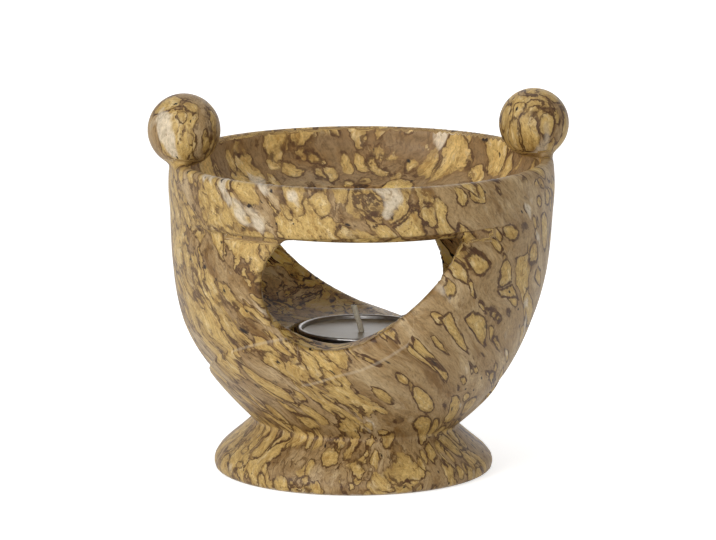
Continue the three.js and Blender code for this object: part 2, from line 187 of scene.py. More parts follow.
def window_distance(side, angle, z):
    """Distance to a window's outline on the unrolled wall, below zero inside the opening."""
    outline = side["outline"] * [math.radians(1) * unroll_radius, 1]
    x = angle * math.radians(1) * unroll_radius
    best = np.full(z.shape, np.inf)
    inside = np.zeros(z.shape, bool)
    for (ax, ay), (bx, by) in zip(outline, np.roll(outline, -1, axis=0)):
        ex, ey = bx - ax, by - ay
        t = np.clip(((x - ax) * ex + (z - ay) * ey) / (ex * ex + ey * ey), 0, 1)
        best = np.minimum(best, (x - ax - t * ex) ** 2 + (z - ay - t * ey) ** 2)
        if ey != 0:
            inside ^= ((ay > z) != (by > z)) & (x < ex * (z - ay) / ey + ax)
    return np.where(inside, -1, 1) * np.sqrt(best)


def below_lift(angle, z):
    """Height as if the rim band's lower edge were level: over the front window it runs up to the right."""
    return z - np.interp(angle, lift_angles, lifts) * ease(z, 60, band_bottom)


def bevel_reach(angle, z):
    """Width of the bevel round a window: widest under the rim band and at the sill's left end."""
    at_sill = (1 - ease(z, 40, 54)) * (1 - ease(angle, -34, -12))
    at_band = np.where(angle < 0, bevel_left_of_band, bevel_right_of_band) * ease(z, 63, 75)
    return bevel_width + at_band + bevel_at_sill * at_sill


def bevel(distance, angle, z):
    """How far the wall's outside is cut back round a window, and how far the whole wall is drawn in."""
    below_band = 1 - ease(z, band_bottom - 0.5, band_bottom + 0.6)
    share = np.clip(1 - distance / bevel_reach(angle, z), 0, 1)
    cut = (bevel_depth + sill_bevel * (1 - ease(z, 44, 58))) * share * below_band
    drawn = band_draw * ease(z, 65, 77) * share
    return cut + drawn * below_band, drawn


def clay(points):
    """Distance field of the whole stoneware body: below zero in the clay."""
    x, y, z = np.moveaxis(points, -1, 0)
    r = np.hypot(x, y)
    outer_r = np.hypot(x - off_centre(z), y)
    outer_z = tilted(x, z)
    angle = np.degrees(np.arctan2(x, -y))
    turns = ((front, angle), (rear, (angle + 360) % 360 - 180))
    level = below_lift(angle, z)

    # The walls' outside and the rim band, with the laps and the bevels round the windows.
    radius, slope = body_profile(z)
    steep = np.sqrt(1 + slope ** 2)
    relief = band_swell * np.sin(np.pi * np.clip((z - band_bottom) / (rim_height - band_bottom), 0, 1))
    drawn = np.zeros(r.shape)
    cuts = []
    far_off, beyond_wall = 40.0, 16
    near_wall = (r > well_radius) & (r < radius + beyond_wall) & (z > window_low) & (z < window_high)
    for side, turn in turns:
        near = near_wall & (np.abs(turn - window_middle) < window_span)
        sill = level[near] - side["fall"] * (body_radius - r[near])
        distance = np.full(r.shape, far_off)
        distance[near] = window_distance(side, turn[near], sill)
        cuts.append(distance)
        cut_back, drawn_in = bevel(distance, turn, level)
        relief = relief + lap_relief(side, turn, z) - cut_back
        drawn = drawn + drawn_in
    outside = (outer_r - body_profile(outer_z)[0] - relief) / steep
    body = soft_max(outside, waist_height - waist_overlap - outer_z, joint_round)
    body = soft_max(body, z - rim_height, rim_round)

    # The foot, joined to the walls at the waist.
    foot = (outer_r - np.interp(outer_z, foot_heights, foot_radii)) * foot_steepness
    foot = soft_max(foot, outer_z - waist_height - waist_overlap, joint_round)
    foot = soft_max(foot, -z, edge_round)
    body = soft_min(body, foot, joint_round)

    # The chamber between the dished candle floor and the bowl, with the tealight's well in the floor.
    inside = (r - radius + drawn) / steep + wall_thick
    roof = np.interp(r, *bowl_under.T) + (z - level) * ease(r, 47, 51.5)
    up_the_dish = np.clip((r - well_radius) / (dish_radius - well_radius), 0, 2)
    floor = dish_height + dish_rise * up_the_dish ** dish_curve
    chamber = soft_max(soft_max(inside, floor - z, chamber_round), z - roof, chamber_round)
    well = np.maximum(r - well_radius, z - dish_height - well_overlap)
    well = soft_max(well, well_floor_height - z, well_round)
    chamber = soft_min(chamber, well, well_lip_round)
    body = soft_max(body, -chamber, edge_round)

    # The bowl's inside.
    bowl_surface = np.interp(r, *bowl_wall.T)
    bowl = soft_max((bowl_surface - z) * bowl_steepness, r - bowl_inside, bowl_wall_round)
    body = soft_max(body, -bowl, bowl_lip_round)

    # The hollow under the candle floor, open through the foot.
    hollow = soft_max(inside, z - dish_height + floor_plate, hollow_round)
    pit = soft_max(r - well_radius - well_thick, well_floor_height - well_thick - z, hollow_round)
    hollow = soft_max(hollow, -pit, hollow_round)
    hollow = soft_max(hollow, waist_height - z, throat_round)
    throat = outer_r - throat_radius - throat_flare * (1 - ease(z, -2, waist_height))
    throat = soft_max(throat * throat_steepness, z - waist_height - throat_height, throat_round)
    hollow = soft_min(hollow, throat, hollow_round)
    body = soft_max(body, -hollow, hollow_edge_round)

    # The windows, cut through the wall, and the balls on the rim.
    for distance in cuts:
        body = soft_max(body, -soft_max(distance, z - roof, window_head_round), window_round)
    for place, size in ((left_ball, ball_radius), (right_ball, ball_radius - right_ball_shrink)):
        ball = np.linalg.norm(points - place, axis=-1) - size
        body = soft_min(body, ball, ball_fillet)
    return body


def draw_surface(field, low, high, step):
    """Points and quads of the field's zero surface, one point in each cell that it passes through."""
    axes = [np.arange(a, b + step, step) for a, b in zip(low, high)]
    grid = np.stack(np.meshgrid(*axes, indexing="ij"), axis=-1)
    value = np.concatenate([field(slab[None])[0][None] for slab in grid])
    solid = value < 0
    shape = tuple(n - 1 for n in solid.shape)
    total = np.zeros(shape + (3,))
    count = np.zeros(shape)

    def corner(array, at):
        """An array's values at one corner of every cell."""
        return array[tuple(slice(first, first + cells) for first, cells in zip(at, shape))]

    for axis in range(3):
        others = [a for a in range(3) if a != axis]
        for i in (0, 1):
            for j in (0, 1):
                start = [0, 0, 0]
                start[others[0]], start[others[1]] = i, j
                end = list(start)
                end[axis] = 1
                va, vb = corner(value, start), corner(value, end)
                cross = corner(solid, start) != corner(solid, end)
                share = np.where(cross, va / np.where(va == vb, 1, va - vb), 0)
                place = np.zeros(shape + (3,))
                place[...] = start
                place[..., axis] = share
                total += place * cross[..., None]
                count += cross
    used = count > 0

    # Each grid edge that the surface crosses gives one quad between the four cells round it.
    number = np.full(shape, -1)
    number[used] = np.arange(used.sum())
    cells = np.argwhere(used)
    points = np.array(low) + step * (cells + total[used] / count[used][:, None])
    quads = []
    for axis in range(3):
        b, c = [(axis + 1) % 3, (axis + 2) % 3]
        first = np.moveaxis(solid, [axis, b, c], [0, 1, 2])
        cell = np.moveaxis(number, [axis, b, c], [0, 1, 2])
        change = first[:-1, 1:-1, 1:-1] != first[1:, 1:-1, 1:-1]
        at = np.argwhere(change)
        i, j, k = at.T
        near, far = [cell[i, j, k], cell[i, j + 1, k]], [cell[i, j + 1, k + 1], cell[i, j, k + 1]]
        ring = np.stack(near + far, axis=1)
        leaves = first[:-1, 1:-1, 1:-1][i, j, k]
        quads.append(np.where(leaves[:, None], ring, ring[:, ::-1]))
    return points, np.vstack(quads)


def field_slope(points, field):
    """The field's gradient, which points out of the clay."""
    probe = 0.1
    changes = [field(points + d) - field(points - d) for d in np.eye(3) * probe]
    return np.stack(changes, axis=-1) / (2 * probe)


def settle(points, field, step, rounds):
    """Slide points onto the field's zero surface, by at most half a cell in a round."""
    for _ in range(rounds):
        value = field(points)
        slope = field_slope(points, field)
        move = -value[:, None] * slope / np.maximum((slope ** 2).sum(1, keepdims=True), 0.05)
        length = np.linalg.norm(move, axis=1, keepdims=True)
        points = points + move * np.minimum(1, 0.5 * step / np.maximum(length, 1e-9))
    return points


def mesh_object(name, points, faces):
    """A new object with its place in its mesh, from points in millimetres."""
    mesh = bpy.data.meshes.new(name)
    mesh.from_pydata((np.asarray(points) * MM).tolist(), [], [list(face) for face in faces])
    mesh.polygons.foreach_set("use_smooth", [True] * len(mesh.polygons))
    mesh.update()
    obj = bpy.data.objects.new(name, mesh)
    bpy.context.scene.collection.objects.link(obj)
    return obj


cell_size = 1.12
settle_rounds = 3
corner_low = np.array([-ball_reach - ball_radius - 2, -body_radius - 3, -2.03])
corner_high = np.array([ball_reach + ball_radius + 2, body_radius + 3, ball_height + ball_radius + 2])
clay_points, clay_quads = draw_surface(clay, corner_low, corner_high, cell_size)
clay_points = settle(clay_points, clay, cell_size, settle_rounds)
clay_points[:, 2] = np.maximum(clay_points[:, 2], 0)
body = mesh_object("stoneware_body", clay_points, clay_quads)


def add_attribute(obj, name, kind, values):
    """A value or a vector at each of an object's points, for its material."""
    attribute = obj.data.attributes.new(name, kind, "POINT")
    field = "vector" if kind == "FLOAT_VECTOR" else "value"
    attribute.data.foreach_set(field, np.asarray(values, dtype=np.float32).ravel())


def round_body(radius, angle, height):
    """Points on a cylinder round the body's axis."""
    return np.stack([radius * np.sin(angle), -radius * np.cos(angle), height], axis=1)


px, py, pz = clay_points.T
px = px - off_centre(pz)
point_radius = np.hypot(px, py)
point_angle = np.arctan2(px, -py)
degrees = np.degrees(point_angle)
wall_radius, wall_slope = body_profile(pz)
skin = (wall_radius - point_radius) / np.sqrt(1 + wall_slope ** 2)
clay_normals = field_slope(clay_points, clay)
clay_normals /= np.maximum(np.linalg.norm(clay_normals, axis=1, keepdims=True), 1e-6)
outward = (clay_normals[:, :2] * clay_points[:, :2]).sum(1) / np.maximum(point_radius, 1)
upward = clay_normals[:, 2]

# The parts of the body, told apart by their place and by the way the clay faces.
on_ball = pz > rim_height + 1.0
in_bowl = (point_radius < bowl_inside + 0.9) & (pz > bowl_floor_height - 1) & (pz < rim_height - 0.5)
in_chamber = (outward < 0.25) & (skin > wall_thick - 0.5) & (pz < band_bottom) & (pz > waist_height)
on_dish = in_chamber & (upward > 0.6)
on_roof = (upward < -0.6) & (pz > band_bottom - 7) & (skin > 2)
in_well = (np.hypot(*clay_points[:, :2].T) < well_radius + 1) & (pz > well_floor_height - 1)
under_floor = (pz < dish_height - 5) & (outward < 0.4) & (skin > 2.5) & ~in_well
under_foot = (pz < waist_height + 1) & (outward < 0)
bare = (pz < 0.4) | under_floor | under_foot

# The pattern's flow: where each point of the clay falls on a plain cylinder round the body, drawn out
# along the foot and the lower walls so that the cells run into streaks there.
flow_radius = 52.0
lean_heights = [0, 14.6, 22, 45, 60, 77, 113]
lean_shift = [-42, -42, -36, -10, 0, 7, 26]
rise_heights, rises = [0, 14.6, 34, 55, 113], [12, 25, 40, 57, 113]
streak_heights, streak_radii = [0, 8, 14.6, 30, 45], [47, 43, 39, 47, flow_radius]
inner_lean, inner_rise = 1.1, 0.55
flat_scale, bowl_scale = 0.9, [0.7, 0.7, 0.6]
ball_scale, ball_start = [0.95, 0.95, 0.62], [3.0, 0.0, 11.0]
side_angle = point_angle + np.interp(pz, lean_heights, lean_shift) / flow_radius
side_radius = np.interp(pz, streak_heights, streak_radii)
side_flow = round_body(side_radius, side_angle, np.interp(pz, rise_heights, rises))
inner_angle = point_angle - inner_lean * (pz - dish_height) / flow_radius
inner_flow = round_body(flow_radius, inner_angle, inner_rise * pz)
flow = np.where(in_chamber[:, None], inner_flow, side_flow)
flow = np.where((on_dish | on_roof)[:, None], clay_points * flat_scale, flow)
flow = np.where(in_bowl[:, None], clay_points * bowl_scale, flow)
flow = np.where(on_ball[:, None], clay_points * ball_scale + ball_start, flow)

# How dense the cells lie; how pale the clay is, with paler paint as painted light on the band's left front
# and the left ball;
# how much painted light lifts the chamber's inside; and how far a point lies from the ridge along the front
# sill and the lap, for a painted highlight there.
dense = 0.37 - 0.33 * np.sin(point_angle) + 0.1 * ease(pz, 74, 80)
dense = np.where(pz < waist_height, 0.55 - 0.12 * np.sin(point_angle), dense)
dense = np.where(in_chamber, 0.62, dense)
dense = np.where(in_bowl, 0.6, dense)
dense = np.where(on_ball, 0.55, dense)
# Painted light: more off-white on the band's left front and just below it, and on the left ball, where the
# light falls from the left; the off-white patches themselves are print.
pale = 0.06 * ease(pz, 74, 80) * (1 - ease(degrees, -25, 20)) * (degrees > -95)
# Painted light: how strongly the chamber's inside is lifted paler, most towards the rear and 0.5 on the dish.
chamber_light_lift = np.where(on_dish, 0.5, 0.15 + 0.85 * ease(np.abs(degrees), 50, 105))
# A painted highlight runs along the ridge of the front sill's bevel and along the lap's line; these distances
# place it.
ridge_reach = 5
past_ridge = window_distance(front, degrees, pz) - bevel_reach(degrees, pz)
past_lap = pz - np.interp(degrees, front["line"][:, 0], front["line"][:, 1])
on_sill = (degrees > -29) & (degrees < 9) & (pz > 24) & (pz < 58) & (skin < 4)
on_lap = (degrees > -56) & (degrees < -31) & (pz > 30) & (pz < 56) & (skin < 4)
ridge_highlight = np.where(on_sill, np.clip(past_ridge, -ridge_reach, ridge_reach), ridge_reach)
ridge_highlight = np.where(on_lap, np.clip(past_lap, -ridge_reach, ridge_reach), ridge_highlight)

add_attribute(body, "flow", "FLOAT_VECTOR", flow)
for name, values in (
    ("bowl", in_bowl * (0.55 + 0.45 * ease(pz, 77, 84))),
    ("chamber", in_chamber * chamber_light_lift),
    ("bare", bare),
    ("dense", dense),
    # Painted light: the left ball a little paler.
    ("pale", pale + 0.03 * (on_ball & (px < 0))),
    ("ridge_highlight", ridge_highlight),
):
    add_attribute(body, name, "FLOAT", values)


class Nodes:
    """Short calls for building a material's node tree."""

    def __init__(self, name):
        self.material = bpy.data.materials.new(name)
        self.material.use_nodes = True
        self.tree = self.material.node_tree
        self.shader = self.tree.nodes["Principled BSDF"]

    def add(self, kind, inputs=None, **props):
        node = self.tree.nodes.new(kind)
        for key, value in props.items():
            setattr(node, key, value)
        for key, value in (inputs or {}).items():
            self.feed(node.inputs[key], value)
        return node

    def feed(self, socket, value):
        """Link a socket to another, or set it to a plain value."""
        if isinstance(value, bpy.types.NodeSocket):
            self.tree.links.new(value, socket)
        else:
            socket.default_value = value

    def math(self, operation, a, b=0.0, c=0.0):
        return self.add("ShaderNodeMath", {0: a, 1: b, 2: c}, operation=operation).outputs[0]

    def vector(self, operation, a, b):
        return self.add("ShaderNodeVectorMath", {0: a, 1: b}, operation=operation).outputs[0]

    def step(self, value, low, high):
        """0 at low and 1 at high, with a smooth passage between."""
        inputs = {"Value": value, "From Min": low, "From Max": high}
        return self.add("ShaderNodeMapRange", inputs, interpolation_type="SMOOTHSTEP").outputs[0]

    def mix(self, factor, a, b):
        node = self.add("ShaderNodeMix", data_type="RGBA", clamp_factor=True)
        for index, value in ((0, factor), (6, a), (7, b)):
            self.feed(node.inputs[index], value)
        return node.outputs[2]

    def noise(self, vector, scale, detail, rough=0.5):
        inputs = {"Vector": vector, "Scale": scale, "Detail": detail, "Roughness": rough}
        return self.add("ShaderNodeTexNoise", inputs)

    def ramp(self, value, stops):
        """A colour that passes through stops of (value, colour)."""
        node = self.add("ShaderNodeValToRGB", {0: value})
        elements = node.color_ramp.elements
        while len(elements) < len(stops):
            elements.new(0.5)
        for element, (position, colour) in zip(elements, stops):
            element.position = position
            element.color = (*colour[:3], 1)
        return node.outputs[0]

    def attribute(self, name, output):
        return self.add("ShaderNodeAttribute", attribute_name=name).outputs[output]

    def grain(self, space, stretch, detail, rough=0.5):
        """Noise drawn out along the axes of a space."""
        return self.noise(self.vector("MULTIPLY", space, stretch), 1.0, detail, rough).outputs[0]

    def inverse(self, value):
        return self.math("SUBTRACT", 1.0, value)

    def tint(self, colour, amount, share, other):
        """A colour with another laid over it, as strong as an amount times a share."""
        return self.mix(self.math("MULTIPLY", amount, share), colour, other)

    def colour_by(self, grain, stops):
        self.feed(self.shader.inputs["Base Color"], self.ramp(grain, stops))

    def rough_by(self, grain, spread, least):
        self.feed(self.shader.inputs["Roughness"], self.math("MULTIPLY_ADD", grain, spread, least))

    def bump_by(self, height, strength, depth):
        bump = self.add("ShaderNodeBump", {"Strength": strength, "Distance": depth, "Height": height})
        self.feed(self.shader.inputs["Normal"], bump.outputs[0])


def stoneware_material():
    """Satin stoneware with a burl-like finish: ochre fields and cells with dark rims on a taupe ground, plus
    painted light and highlights.
    """
    taupe, brown, sand = (0.325, 0.215, 0.097, 1), (0.175, 0.092, 0.026, 1), (0.43, 0.31, 0.165, 1)
    off_white, dark, ink = (0.58, 0.49, 0.36, 1), (0.060, 0.024, 0.006, 1), (0.016, 0.009, 0.005, 1)
    ochre_deep, ochre, ochre_pale = (0.33, 0.195, 0.053, 1), (0.49, 0.33, 0.113, 1), (0.62, 0.47, 0.235, 1)
    bare_clay, umber = (0.50, 0.42, 0.32, 1), (0.17, 0.10, 0.04, 1)
    n = Nodes("stoneware_burl")
    flow = n.attribute("flow", "Vector")
    bowl = n.attribute("bowl", "Fac")
    chamber = n.attribute("chamber", "Fac")

    # The flow is bent by slow and quick noise, and more where the pattern is dense.
    centred = (0.5, 0.5, 0.5)
    wide = n.vector("SUBTRACT", n.noise(flow, 0.05, 1).outputs["Color"], centred)
    fine = n.vector("SUBTRACT", n.noise(flow, 0.30, 3, 0.6).outputs["Color"], centred)
    drift = n.vector("ADD", flow, n.vector("MULTIPLY", wide, (14, 14, 9)))
    patch = n.math("SUBTRACT", n.noise(flow, 0.045, 2).outputs[0], 0.5)
    density = n.math("ADD", n.attribute("dense", "Fac"), patch)
    unrest = n.math("MULTIPLY_ADD", n.step(density, 0.15, 0.6), 2.4, 1.2)
    fine = n.add("ShaderNodeVectorMath", {0: fine, "Scale": unrest}, operation="SCALE").outputs[0]
    moved = n.vector("ADD", drift, fine)

    # The ground: taupe clouds with brown and sand smears, and more umber in the chamber and the bowl.
    cloud = n.grain(moved, (0.11, 0.11, 0.05), 4, 0.55)
    ground = n.ramp(cloud, [(0.32, brown), (0.43, taupe), (0.53, taupe),
                            (0.60, sand), (0.66, sand), (0.72, off_white)])
    smear = n.grain(moved, (0.6, 0.6, 0.22), 5, 0.65)
    ground = n.tint(ground, n.step(smear, 0.50, 0.70), 0.55, brown)
    blotch = n.grain(moved, (0.26, 0.26, 0.15), 4, 0.6)
    ground = n.tint(ground, n.step(blotch, 0.52, 0.68), 0.4, brown)
    ground = n.tint(ground, n.step(blotch, 0.48, 0.34), 0.45, sand)
    deeper = n.math("MULTIPLY_ADD", chamber, 0.38, n.math("MULTIPLY", bowl, 0.8))
    ground = n.mix(deeper, ground, umber)
    vein = n.grain(moved, (0.20, 0.20, 0.05), 3)
    off_vein = n.step(n.math("ABSOLUTE", n.math("SUBTRACT", vein, 0.5)), 0.004, 0.022)
    veined = n.math("MULTIPLY", n.inverse(off_vein), n.step(density, 0.38, 0.75))

    # The ochre: mottled, with fine specks and brown flecks in it.
    mottle = n.grain(moved, (0.5, 0.5, 0.25), 5, 0.62)
    gold = n.ramp(mottle, [(0.34, ochre_deep), (0.46, ochre), (0.54, ochre), (0.66, ochre_pale)])
    speckle = n.step(n.grain(moved, (1.6, 1.6, 0.9), 3, 0.6), 0.56, 0.70)
    gold = n.tint(gold, speckle, 0.6, ochre_deep)
    fleck = n.step(n.grain(moved, (0.95, 0.95, 0.6), 3, 0.6), 0.60, 0.68)
    gold = n.tint(gold, fleck, 0.75, brown)

    # The dark rims: strong in patches, and of a ragged thickness.
    patchy = n.step(n.noise(drift, 0.22, 1).outputs[0], 0.34, 0.5)
    patchy = n.math("MAXIMUM", patchy, n.step(density, 0.5, 0.3))
    crowded = n.math("MULTIPLY", n.step(density, 0.5, 0.9), 0.35)
    patchy = n.math("MULTIPLY", patchy, n.inverse(crowded))
    crisp = n.math("MULTIPLY", patchy, n.inverse(n.math("MULTIPLY", bowl, 0.15)))
    ragged = n.step(n.grain(moved, (0.75, 0.75, 0.45), 4, 0.65), 0.36, 0.64)
    thickness = n.math("MULTIPLY_ADD", ragged, 1.1, 0.5)
    crisp = n.math("MULTIPLY", crisp, n.math("MULTIPLY_ADD", ragged, 0.25, 0.75))

    def lay(colour, deep, kept, soft, width):
        """Ochre laid over a colour, with a brown shade and a dark rim where its depth passes zero."""
        off_edge = n.math("ABSOLUTE", deep)
        filled = n.tint(colour, n.step(deep, 0.0, soft), kept, gold)
        shade = n.inverse(n.step(off_edge, 0.0, width * 4.5))
        filled = n.tint(filled, n.math("MULTIPLY", shade, kept), 0.38, brown)
        rim = n.inverse(n.step(n.math("DIVIDE", off_edge, thickness), width * 0.4, width))
        return n.tint(filled, n.math("MULTIPLY", rim, kept), crisp, dark)

    def cells(stretch, spread, share, least):
        """How far inside a cell's edge a point lies, and whether that cell is filled."""
        inputs = {"Vector": n.vector("MULTIPLY", moved, stretch), "Scale": 1.0, "Randomness": 0.9}
        near = n.add("ShaderNodeTexVoronoi", inputs, feature="F1")
        edge = n.add("ShaderNodeTexVoronoi", inputs, feature="DISTANCE_TO_EDGE").outputs["Distance"]
        own = n.add("ShaderNodeSeparateColor", {0: near.outputs["Color"]}).outputs
        reach = n.math("MULTIPLY_ADD", own[1], 0.24, spread)
        deep = n.math("SUBTRACT", reach, near.outputs["Distance"])
        deep = n.math("MINIMUM", deep, n.math("SUBTRACT", edge, 0.05))
        wanted = n.math("MULTIPLY_ADD", density, share, n.math("MULTIPLY_ADD", bowl, 0.38, least))
        return deep, n.step(n.math("SUBTRACT", wanted, own[0]), -0.01, 0.01)

    # Veins in the ground, then three layers of ochre: wide fields, small cells and large cells.
    field = n.grain(moved, (0.085, 0.085, 0.045), 3)
    level = n.math("MULTIPLY_ADD", density, -0.235, n.math("MULTIPLY_ADD", bowl, 0.07, 0.66))
    colour = n.tint(ground, veined, 0.75, dark)
    colour = lay(colour, n.math("SUBTRACT", field, level), 1.0, 0.012, 0.014)
    colour = lay(colour, *cells((0.26, 0.26, 0.17), 0.36, 0.40, 0.13), 0.04, 0.07)
    colour = lay(colour, *cells((0.145, 0.145, 0.092), 0.40, 0.42, 0.32), 0.03, 0.05)

    # Over all of it off-white patches, brown streaks, a few ink dots and the pores of the clay.
    pale = n.math("ADD", n.grain(drift, (0.075, 0.075, 0.05), 3), n.attribute("pale", "Fac"))
    colour = n.tint(colour, n.step(pale, 0.65, 0.70), 0.85, off_white)
    streak = n.grain(moved, (1.1, 1.1, 0.22), 4, 0.6)
    colour = n.tint(colour, n.step(streak, 0.58, 0.72), 0.55, brown)
    dot_space = n.vector("MULTIPLY", moved, (0.36, 0.36, 0.28))
    dot = n.add("ShaderNodeTexVoronoi", {"Vector": dot_space, "Scale": 1.0}, feature="F1")
    picked = n.add("ShaderNodeSeparateColor", {0: dot.outputs["Color"]}).outputs[1]
    spot = n.inverse(n.step(dot.outputs["Distance"], 0.10, 0.24))
    colour = n.tint(colour, spot, n.step(picked, 0.80, 0.83), ink)
    pores = n.grain(moved, (1.5, 1.5, 0.8), 4, 0.7)
    pores = n.ramp(pores, [(0.30, (0.60, 0.57, 0.53)), (0.50, (1.0, 1.0, 1.0)), (0.70, (1.28, 1.27, 1.26))])
    colour = n.vector("MULTIPLY", colour, pores)

    # Painted highlights along the front sill's ridge and its lap, bare clay below, and painted light that
    # lifts the colour inside the chamber.
    ridge_highlight = n.step(n.math("ABSOLUTE", n.attribute("ridge_highlight", "Fac")), 0.7, 0.1)
    colour = n.tint(colour, ridge_highlight, 0.24, off_white)
    colour = n.mix(n.attribute("bare", "Fac"), colour, bare_clay)
    # Painted light: inside the chamber the colour is stretched paler, most towards the rear and on the dish.
    lifted_by_painted_light = n.vector("MULTIPLY", n.vector("SUBTRACT", colour, (0.10, 0.062, 0.022)), (3.0, 2.9, 2.4))
    lifted_by_painted_light = n.vector("MINIMUM", n.vector("MAXIMUM", lifted_by_painted_light, (0.01, 0.006, 0.003)), (0.8, 0.6, 0.3))
    colour = n.mix(chamber, colour, lifted_by_painted_light)
    colour = n.mix(bowl, colour, n.vector("MULTIPLY", colour, (1.33, 1.34, 1.36)))
    n.feed(n.shader.inputs["Base Color"], colour)

    # A satin face with a slight unevenness, duller inside the chamber.
    n.rough_by(n.noise(flow, 0.6, 3).outputs[0], 0.16, 0.40)
    n.bump_by(n.noise(flow, 0.09, 2).outputs[0], 0.12, 0.0006)
    n.feed(n.shader.inputs["Specular IOR Level"], n.math("MULTIPLY_ADD", chamber, -0.2, 0.28))
    return n.material


body.data.materials.append(stoneware_material())
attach(body, "holder")
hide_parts("pedestal_foot", "candle_floor", "left_wall", "right_wall",
            "burner_bowl", "left_ball", "right_ball")


# Tealight cup: thin pressed aluminium foil with a rolled rim, standing loose in the well.
# Its side and rim carry the fine upright pleats that the press leaves.
def lathe(name, profile, segments, pleats=0, depth=0.0):
    """A turned shape from (radius, height) points that start and end on the axis, pleated near its rim."""
    profile = np.array(profile)
    turn = np.linspace(0, 2 * np.pi, segments, endpoint=False)
    ring = profile[1:-1]
    widest = ring[:, 0].max()
    wave = depth * np.cos(pleats * turn)[:, None] * np.ones(len(ring))
    radius = ring[:, 0] + wave * ease(ring[:, 0], widest * 0.9, widest)
    x = radius * np.sin(turn)[:, None]
    y = -radius * np.cos(turn)[:, None]
    z = np.broadcast_to(ring[:, 1], x.shape)
    points = np.stack([x, y, z], axis=-1).reshape(-1, 3)
    rows = len(ring)
    bottom, top = len(points), len(points) + 1
    points = np.vstack([points, [[0, 0, profile[0, 1]], [0, 0, profile[-1, 1]]]])
    faces = []
    for i in range(segments):
        j = (i + 1) % segments
        faces += [[i * rows + k, j * rows + k, j * rows + k + 1, i * rows + k + 1] for k in range(rows - 1)]
        faces.append([bottom, j * rows, i * rows])
        faces.append([top, i * rows + rows - 1, j * rows + rows - 1])
    return mesh_object(name, points, faces)


def arc(centre, radius, start, end, steps):
    """(radius, height) points along an arc, from one angle in degrees to another."""
    angles = np.radians(np.linspace(start, end, steps))
    return [(centre[0] + radius * math.cos(a), centre[1] + radius * math.sin(a)) for a in angles]


cup_radius = cup_high[0]
cup_base, cup_top = cup_low[2], cup_high[2]
bead, foil = 0.6, 0.4
outer_bend, inner_bend = 1.5, 1.4
side_heights = (4, 7, 10, 12.5)
cup_segments, pleat_count, pleat_depth = 192, 48, 0.06
cup_inside = cup_radius - 2 * bead
cup_profile = [(0, cup_base)]
cup_profile += arc((cup_inside + foil - outer_bend, cup_base + outer_bend), outer_bend, -90, 0, 6)
cup_profile += [(cup_inside + foil, cup_base + height) for height in side_heights]
cup_profile += arc((cup_radius - bead, cup_top - bead), bead, -100, 180, 12)
cup_profile += [(cup_inside, cup_base + height) for height in reversed(side_heights)]
cup_profile += arc((cup_inside - inner_bend, cup_base + foil + inner_bend), inner_bend, 0, -90, 6)
cup_profile += [(0, cup_base + foil)]
cup = lathe("tealight_cup_foil", cup_profile, cup_segments, pleat_count, pleat_depth)


def foil_material():
    """Aluminium, finely brushed round the cup by the press."""
    n = Nodes("aluminium_foil")
    coords = n.add("ShaderNodeTexCoord").outputs["Object"]
    brushed = n.grain(coords, (900, 900, 4000), 3)
    n.colour_by(brushed, [(0.3, (0.46, 0.45, 0.44)), (0.7, (0.60, 0.59, 0.58))])
    n.rough_by(brushed, 0.2, 0.3)
    n.shader.inputs["Metallic"].default_value = 1.0
    return n.material


cup.data.materials.append(foil_material())
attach(cup, "cup")
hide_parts("tealight_cup")


# Wax: white paraffin, poured round the wick into the cup, where it sets.
# It rises a little where it clings to the foil and to the wick.
wax_low, wax_high = mm("candle_wax")
wax_radius, wax_base, wax_top = wax_high[0], wax_low[2], wax_high[2]
wax_bend, wax_shoulder, wax_segments = 1.5, 0.2, 128
foil_cling, foil_cling_width = 0.55, 0.9
wick_cling, wick_cling_width = 0.6, 1.1
wax_profile = [(0, wax_base)]
wax_profile += arc((wax_radius - wax_bend, wax_base + wax_bend), wax_bend, -90, 0, 5)
wax_profile += [(wax_radius, wax_top - wax_shoulder)]
for share in np.linspace(1, 0.03, 40):
    rise_at_foil = foil_cling * math.exp(-(1 - share) * wax_radius / foil_cling_width)
    rise_at_wick = wick_cling * math.exp(-share * wax_radius / wick_cling_width)
    wax_profile.append((wax_radius * share, wax_top + rise_at_foil + rise_at_wick))
wax_profile.append((0, wax_top + wick_cling))
wax = lathe("candle_wax_pool", wax_profile, wax_segments)


def wax_material():
    """Cloudy paraffin that lets a little light in, its white painted down to a warm grey as shade."""
    n = Nodes("paraffin_wax_painted_shade")
    coords = n.add("ShaderNodeTexCoord").outputs["Object"]
    cloud = n.noise(coords, 160, 3).outputs[0]
    # Painted shade: both colours are a darkened grey, for the shade the wax lies in under the bowl.
    n.colour_by(cloud, [(0.35, (0.56, 0.52, 0.43)), (0.7, (0.66, 0.62, 0.52))])
    n.rough_by(cloud, 0.2, 0.28)
    n.bump_by(n.noise(coords, 220, 2).outputs[0], 0.15, 0.0004)
    n.shader.inputs["Subsurface Weight"].default_value = 0.35
    n.shader.inputs["Subsurface Radius"].default_value = (0.004, 0.0035, 0.003)
    return n.material


wax.data.materials.append(wax_material())
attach(wax, "candle")
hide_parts("candle_wax")


# Wick tab: a tin disc with a crimped neck, stamped from sheet, that holds the wick upright.
# It lies out of sight under the wax and is kept as the frame has it.
def tin_material():
    """Dull tin with a fine grain."""
    n = Nodes("stamped_tin")
    coords = n.add("ShaderNodeTexCoord").outputs["Object"]
    grain = n.noise(coords, 900, 3).outputs[0]
    n.colour_by(grain, [(0.3, (0.5, 0.5, 0.5)), (0.7, (0.66, 0.66, 0.67))])
    n.rough_by(grain, 0.2, 0.3)
    n.shader.inputs["Metallic"].default_value = 1.0
    return n.material


tab = bpy.data.objects["wick_tab"]
tab.data.materials.clear()
tab.data.materials.append(tin_material())


